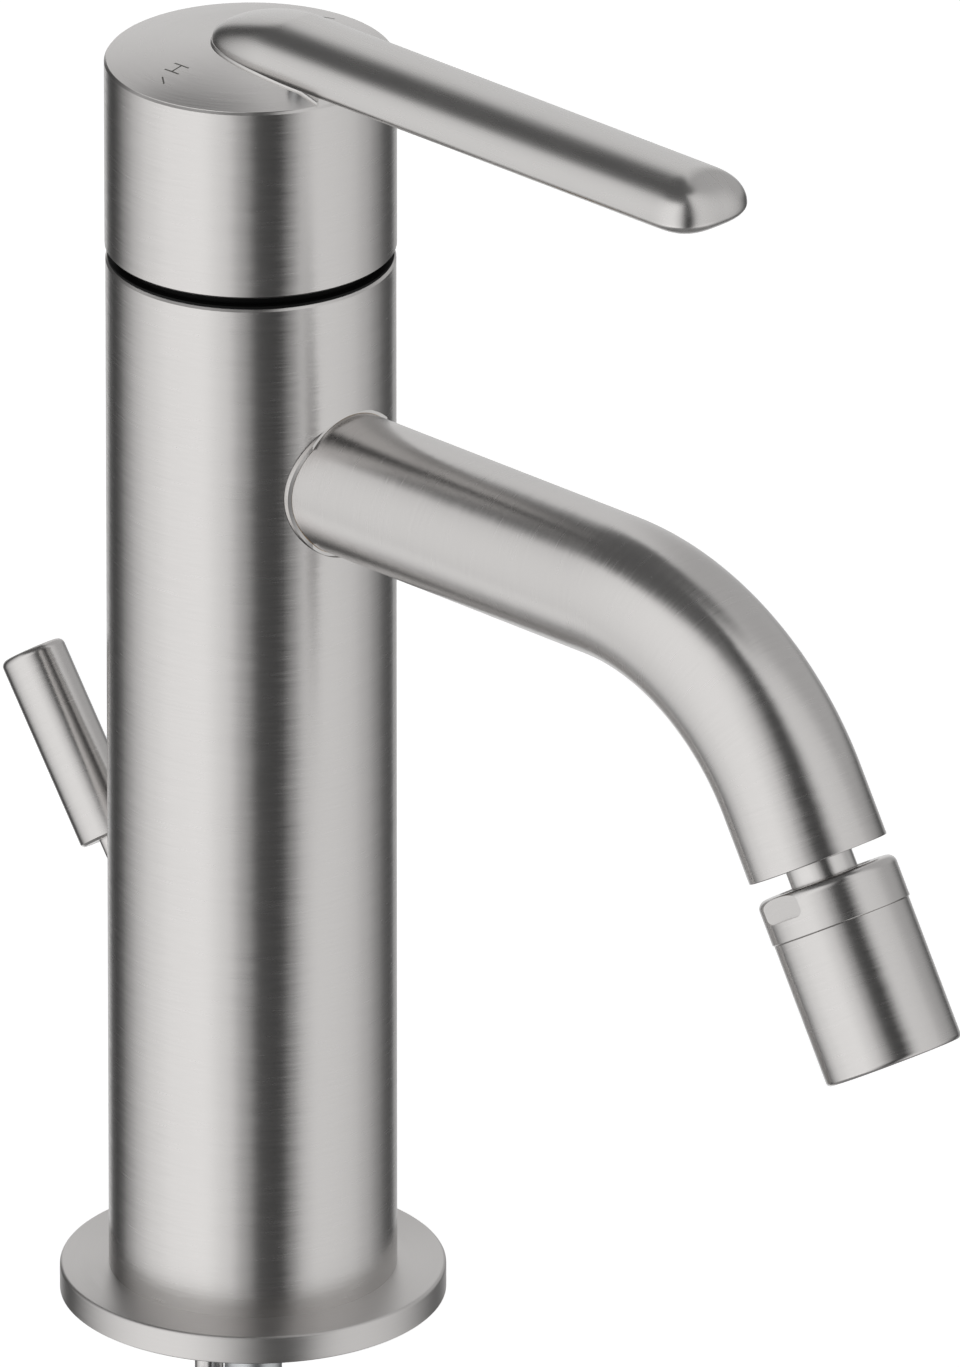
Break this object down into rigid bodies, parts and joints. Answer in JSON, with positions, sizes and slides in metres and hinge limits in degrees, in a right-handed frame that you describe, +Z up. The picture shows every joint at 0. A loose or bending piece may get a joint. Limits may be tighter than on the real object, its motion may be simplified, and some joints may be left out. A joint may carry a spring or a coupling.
{
  "type": "bidet mixer tap",
  "caption": "Single-lever bidet mixer: round body on a flange, tilting cap with bar lever, bent tube spout with ball-jointed aerator, pull rod and deck clamp.",
  "frame": {"origin": "centre of the flange's underside, on the deck's surface", "axes": "+Z up along the body's axis, spout and lever point to -Y, hot side is -X"},
  "size_m": [0.0536, 0.1796, 0.2727],
  "materials": {
    "brushed_steel": "circumferentially brushed, satin",
    "turned_steel": "turned, bright",
    "raw_brass": "machined",
    "black_plastic": "matte",
    "pale_plastic": "moulded, matte",
    "white_ceramic": "lapped",
    "black_rubber": "matte",
    "zinc_steel": "zinc plated"
  },
  "bodies": {
    "mixer_body": {"base_flange": "brushed_steel", "base_gasket": "black_rubber", "base_insert": "raw_brass", "body_shell": "brushed_steel", "waterway_body": "raw_brass", "spout_collar": "turned_steel", "spout_tube": "brushed_steel", "ball_stem": "turned_steel", "cartridge_base": "pale_plastic", "cartridge_seals": "black_rubber", "cartridge_housing": "pale_plastic", "housing_o_ring": "black_rubber", "fixed_ceramic_disc": "white_ceramic", "retaining_nut": "raw_brass", "glide_ring": "black_plastic", "rod_guide_bush": "turned_steel", "fixing_stud": "zinc_steel", "clamp_pad": "black_rubber", "clamp_plate": "zinc_steel", "fixing_nut": "raw_brass"},
    "carriage": {"cartridge_carriage": "pale_plastic", "pivot_pin": "turned_steel"},
    "disc_slider": {"moving_ceramic_disc": "white_ceramic", "disc_carrier": "pale_plastic"},
    "lever": {"lever_stem": "turned_steel", "lever_cap": "brushed_steel", "lever_bar": "brushed_steel", "lever_bar_screws": "zinc_steel", "lever_set_screw": "zinc_steel", "screw_plug": "turned_steel"},
    "joint_cup": {"ball_cup": "pale_plastic", "ball_seal": "black_rubber"},
    "aerator": {"aerator_ring_nut": "brushed_steel", "aerator_housing": "brushed_steel", "aerator_gasket": "black_rubber", "aerator_insert": "black_plastic"},
    "waste_rod": {"pull_rod": "turned_steel", "pull_knob": "brushed_steel"}
  },
  "joints": [
    {"name": "lever_swivel", "type": "hinge", "parent": "mixer_body", "child": "carriage", "pos_m": [0, 0, 0.1396], "axis": [0, 0, 1], "range_deg": [-50, 50]},
    {"name": "lever_lift", "type": "hinge", "parent": "carriage", "child": "lever", "pos_m": [0, 0, 0.1396], "axis": [-1, 0, 0], "range_deg": [0, 25]},
    {"name": "disc_slide", "type": "slide", "parent": "carriage", "child": "disc_slider", "axis": [0, -1, 0], "range_m": [0, 0.0036]},
    {"name": "aerator_tilt", "type": "hinge", "parent": "mixer_body", "child": "joint_cup", "pos_m": [0, -0.11354, 0.09118], "axis": [1, 0, 0], "range_deg": [-15, 15]},
    {"name": "aerator_swivel", "type": "hinge", "parent": "joint_cup", "child": "aerator", "pos_m": [0, -0.11354, 0.09118], "axis": [0, -0.5, -0.866], "continuous": true},
    {"name": "pull_rod_slide", "type": "slide", "parent": "mixer_body", "child": "waste_rod", "axis": [0, 0.5678, 0.8231], "range_m": [0, 0.011]}
  ],
  "couplings": [
    {"joint": "disc_slide", "follows": "lever_lift", "m_per_rad": 0.00775}
  ]
}
